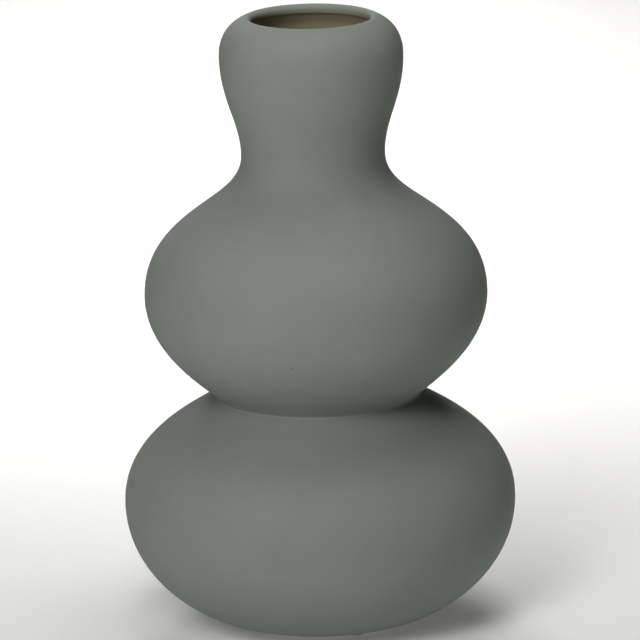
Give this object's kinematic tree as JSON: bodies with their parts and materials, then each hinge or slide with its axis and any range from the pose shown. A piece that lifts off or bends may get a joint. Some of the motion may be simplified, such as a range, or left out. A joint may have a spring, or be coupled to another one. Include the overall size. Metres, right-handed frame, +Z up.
{
  "type": "vase",
  "caption": "Free-standing bubble-shaped ceramic flower vase: two round bulbs, a waisted neck and a small open head, hollow right through, on small round pads.",
  "frame": {"origin": "on the vase's axis, at the level that the pads stand on", "axes": "+Z up along the vase's axis; the picture is taken from the -Y side with +X to its right"},
  "size_m": [0.18, 0.18, 0.2824],
  "materials": {
    "coated_dolomite": "matt sage grey-green sprayed coat on slip-cast dolomite ceramic; clear glaze on the warm cream body inside",
    "clear_polyurethane": "soft clear cast polyurethane, smooth and slightly cloudy"
  },
  "bodies": {
    "root": {"vase_body": "coated_dolomite", "foot_pad_1": "clear_polyurethane", "foot_pad_2": "clear_polyurethane", "foot_pad_3": "clear_polyurethane", "foot_pad_4": "clear_polyurethane"}
  },
  "joints": []
}
